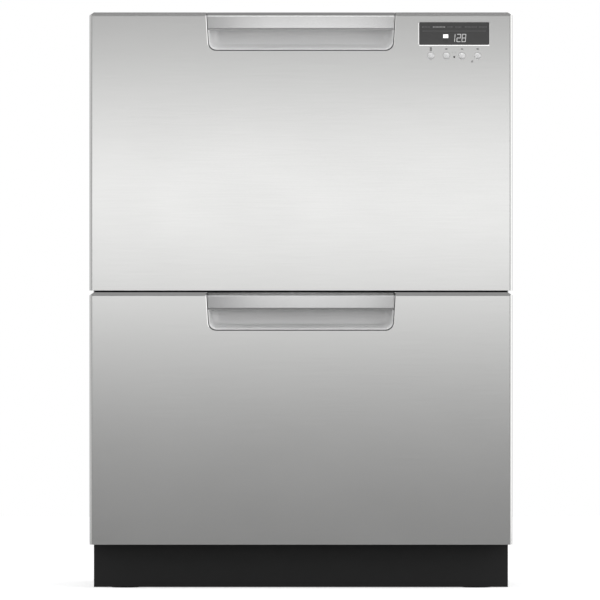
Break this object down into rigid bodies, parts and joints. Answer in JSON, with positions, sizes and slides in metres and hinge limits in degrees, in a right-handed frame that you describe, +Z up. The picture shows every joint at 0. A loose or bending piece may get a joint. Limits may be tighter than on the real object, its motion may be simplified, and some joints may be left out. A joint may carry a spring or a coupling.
{
  "type": "double drawer dishwasher",
  "caption": "Built-in dishwasher with two stacked wash drawers on ball slides, stainless fronts with recessed handles, display, buttons and toe kick.",
  "frame": {"origin": "centre of the whole box on the floor", "axes": "+X to the right seen from the front, fronts face -Y, +Z up"},
  "size_m": [0.599, 0.573, 0.816],
  "materials": {
    "stainless_skin": "stainless sheet, fine horizontal brush",
    "grip_metal": "satin anodised extrusion",
    "scoop_paint": "moulded ABS, satin silver paint",
    "frame_grey": "moulded glass filled polypropylene",
    "window_dark": "smoked acrylic",
    "circuit_green": "glass epoxy board",
    "button_silver": "plated ABS",
    "cabinet_zinc": "galvanised sheet",
    "black_paint": "black powder coat",
    "slide_steel": "bright zinc plated",
    "tub_white": "moulded polypropylene",
    "lid_grey": "moulded polypropylene",
    "seal_rubber": "EPDM",
    "arm_grey": "moulded polypropylene",
    "filter_grey": "moulded polypropylene",
    "motor_black": "moulded PBT",
    "impeller_ivory": "moulded acetal",
    "dispenser_grey": "moulded polypropylene",
    "flap_white": "moulded ABS",
    "wire_nylon": "steel wire, nylon coated",
    "basket_grey": "moulded polypropylene",
    "actuator_white": "moulded nylon",
    "fitting_black": "moulded nylon",
    "valve_white": "moulded nylon",
    "foot_black": "moulded nylon on a steel screw"
  },
  "bodies": {
    "chassis": {"base_tray": "cabinet_zinc", "side_panel_left": "cabinet_zinc", "side_panel_right": "cabinet_zinc", "top_panel": "cabinet_zinc", "rear_panel": "cabinet_zinc", "mid_rail": "black_paint", "toe_kick": "black_paint", "outer_rails": "slide_steel", "lid_actuators": "actuator_white", "inlet_valve": "valve_white", "drain_spigot": "fitting_black", "mains_gland": "fitting_black"},
    "foot_front_left_body": {"foot_front_left": "foot_black"},
    "foot_front_right_body": {"foot_front_right": "foot_black"},
    "foot_rear_left_body": {"foot_rear_left": "foot_black"},
    "foot_rear_right_body": {"foot_rear_right": "foot_black"},
    "upper_drawer": {"upper_front_skin": "stainless_skin", "upper_front_frame": "frame_grey", "upper_handle_bar": "grip_metal", "upper_handle_scoop": "scoop_paint", "upper_tub": "tub_white", "upper_inner_rails": "slide_steel", "upper_filter_plate": "filter_grey", "upper_wash_motor": "motor_black", "upper_dispenser": "dispenser_grey", "upper_rack": "wire_nylon", "upper_cutlery_basket": "basket_grey", "display_window": "window_dark", "control_board": "circuit_green"},
    "upper_slide_middles": {"upper_middle_rails": "slide_steel"},
    "upper_lid_body": {"upper_lid": "lid_grey", "upper_lid_seal": "seal_rubber"},
    "upper_arm": {"upper_spray_arm": "arm_grey"},
    "upper_rotor": {"upper_impeller": "impeller_ivory"},
    "upper_filter_cup": {"upper_drain_filter": "filter_grey"},
    "upper_flap": {"upper_dispenser_flap": "flap_white"},
    "lower_drawer": {"lower_front_skin": "stainless_skin", "lower_front_frame": "frame_grey", "lower_handle_bar": "grip_metal", "lower_handle_scoop": "scoop_paint", "lower_tub": "tub_white", "lower_inner_rails": "slide_steel", "lower_filter_plate": "filter_grey", "lower_wash_motor": "motor_black", "lower_dispenser": "dispenser_grey", "lower_rack": "wire_nylon", "lower_cutlery_basket": "basket_grey"},
    "lower_slide_middles": {"lower_middle_rails": "slide_steel"},
    "lower_lid_body": {"lower_lid": "lid_grey", "lower_lid_seal": "seal_rubber"},
    "lower_arm": {"lower_spray_arm": "arm_grey"},
    "lower_rotor": {"lower_impeller": "impeller_ivory"},
    "lower_filter_cup": {"lower_drain_filter": "filter_grey"},
    "lower_flap": {"lower_dispenser_flap": "flap_white"},
    "upper_shelf": {"upper_cup_shelf": "wire_nylon"},
    "lower_tines": {"lower_folding_tines": "wire_nylon"},
    "button_1_body": {"button_1": "button_silver"},
    "button_2_body": {"button_2": "button_silver"},
    "button_3_body": {"button_3": "button_silver"},
    "button_4_body": {"button_4": "button_silver"}
  },
  "joints": [
    {"name": "foot_front_left_level", "type": "slide", "parent": "chassis", "child": "foot_front_left_body", "axis": [0, 0, -1], "range_m": [0, 0.06]},
    {"name": "foot_front_right_level", "type": "slide", "parent": "chassis", "child": "foot_front_right_body", "axis": [0, 0, -1], "range_m": [0, 0.06]},
    {"name": "foot_rear_left_level", "type": "slide", "parent": "chassis", "child": "foot_rear_left_body", "axis": [0, 0, -1], "range_m": [0, 0.06]},
    {"name": "foot_rear_right_level", "type": "slide", "parent": "chassis", "child": "foot_rear_right_body", "axis": [0, 0, -1], "range_m": [0, 0.06]},
    {"name": "upper_drawer_slide", "type": "slide", "parent": "chassis", "child": "upper_drawer", "axis": [0, -1, 0], "range_m": [0, 0.49]},
    {"name": "upper_middle_slide", "type": "slide", "parent": "chassis", "child": "upper_slide_middles", "axis": [0, -1, 0], "range_m": [0, 0.245]},
    {"name": "upper_lid_drop", "type": "slide", "parent": "chassis", "child": "upper_lid_body", "axis": [0, 0, -1], "range_m": [0, 0.006]},
    {"name": "upper_arm_spin", "type": "hinge", "parent": "upper_drawer", "child": "upper_arm", "pos_m": [0, -0.01715, 0.5002], "axis": [0, 0, 1], "continuous": true},
    {"name": "upper_impeller_spin", "type": "hinge", "parent": "upper_drawer", "child": "upper_rotor", "pos_m": [0, -0.01715, 0.462], "axis": [0, 0, 1], "continuous": true},
    {"name": "upper_filter_lock", "type": "hinge", "parent": "upper_drawer", "child": "upper_filter_cup", "pos_m": [0, -0.10915, 0.4852], "axis": [0, 0, 1], "range_deg": [0, 45]},
    {"name": "upper_flap_hinge", "type": "hinge", "parent": "upper_drawer", "child": "upper_flap", "pos_m": [0, -0.225, 0.614], "axis": [-1, 0, 0], "range_deg": [0, 85]},
    {"name": "lower_drawer_slide", "type": "slide", "parent": "chassis", "child": "lower_drawer", "axis": [0, -1, 0], "range_m": [0, 0.49]},
    {"name": "lower_middle_slide", "type": "slide", "parent": "chassis", "child": "lower_slide_middles", "axis": [0, -1, 0], "range_m": [0, 0.245]},
    {"name": "lower_lid_drop", "type": "slide", "parent": "chassis", "child": "lower_lid_body", "axis": [0, 0, -1], "range_m": [0, 0.006]},
    {"name": "lower_arm_spin", "type": "hinge", "parent": "lower_drawer", "child": "lower_arm", "pos_m": [0, -0.01715, 0.1402], "axis": [0, 0, 1], "continuous": true},
    {"name": "lower_impeller_spin", "type": "hinge", "parent": "lower_drawer", "child": "lower_rotor", "pos_m": [0, -0.01715, 0.102], "axis": [0, 0, 1], "continuous": true},
    {"name": "lower_filter_lock", "type": "hinge", "parent": "lower_drawer", "child": "lower_filter_cup", "pos_m": [0, -0.10915, 0.1252], "axis": [0, 0, 1], "range_deg": [0, 45]},
    {"name": "lower_flap_hinge", "type": "hinge", "parent": "lower_drawer", "child": "lower_flap", "pos_m": [0, -0.225, 0.254], "axis": [-1, 0, 0], "range_deg": [0, 85]},
    {"name": "cup_shelf_fold", "type": "hinge", "parent": "upper_drawer", "child": "upper_shelf", "pos_m": [-0.228, 0, 0.622], "axis": [0, -1, 0], "range_deg": [0, 88]},
    {"name": "tine_row_fold", "type": "hinge", "parent": "lower_drawer", "child": "lower_tines", "pos_m": [0.06, 0, 0.17726], "axis": [0, 1, 0], "range_deg": [0, 88]},
    {"name": "button_1_press", "type": "slide", "parent": "upper_drawer", "child": "button_1_body", "axis": [0, 1, 0], "range_m": [0, 0.0008], "stiffness_N_per_m": 1200},
    {"name": "button_2_press", "type": "slide", "parent": "upper_drawer", "child": "button_2_body", "axis": [0, 1, 0], "range_m": [0, 0.0008], "stiffness_N_per_m": 1200},
    {"name": "button_3_press", "type": "slide", "parent": "upper_drawer", "child": "button_3_body", "axis": [0, 1, 0], "range_m": [0, 0.0008], "stiffness_N_per_m": 1200},
    {"name": "button_4_press", "type": "slide", "parent": "upper_drawer", "child": "button_4_body", "axis": [0, 1, 0], "range_m": [0, 0.0008], "stiffness_N_per_m": 1200}
  ],
  "couplings": [
    {"joint": "upper_middle_slide", "follows": "upper_drawer_slide", "ratio": 0.5},
    {"joint": "lower_middle_slide", "follows": "lower_drawer_slide", "ratio": 0.5}
  ]
}
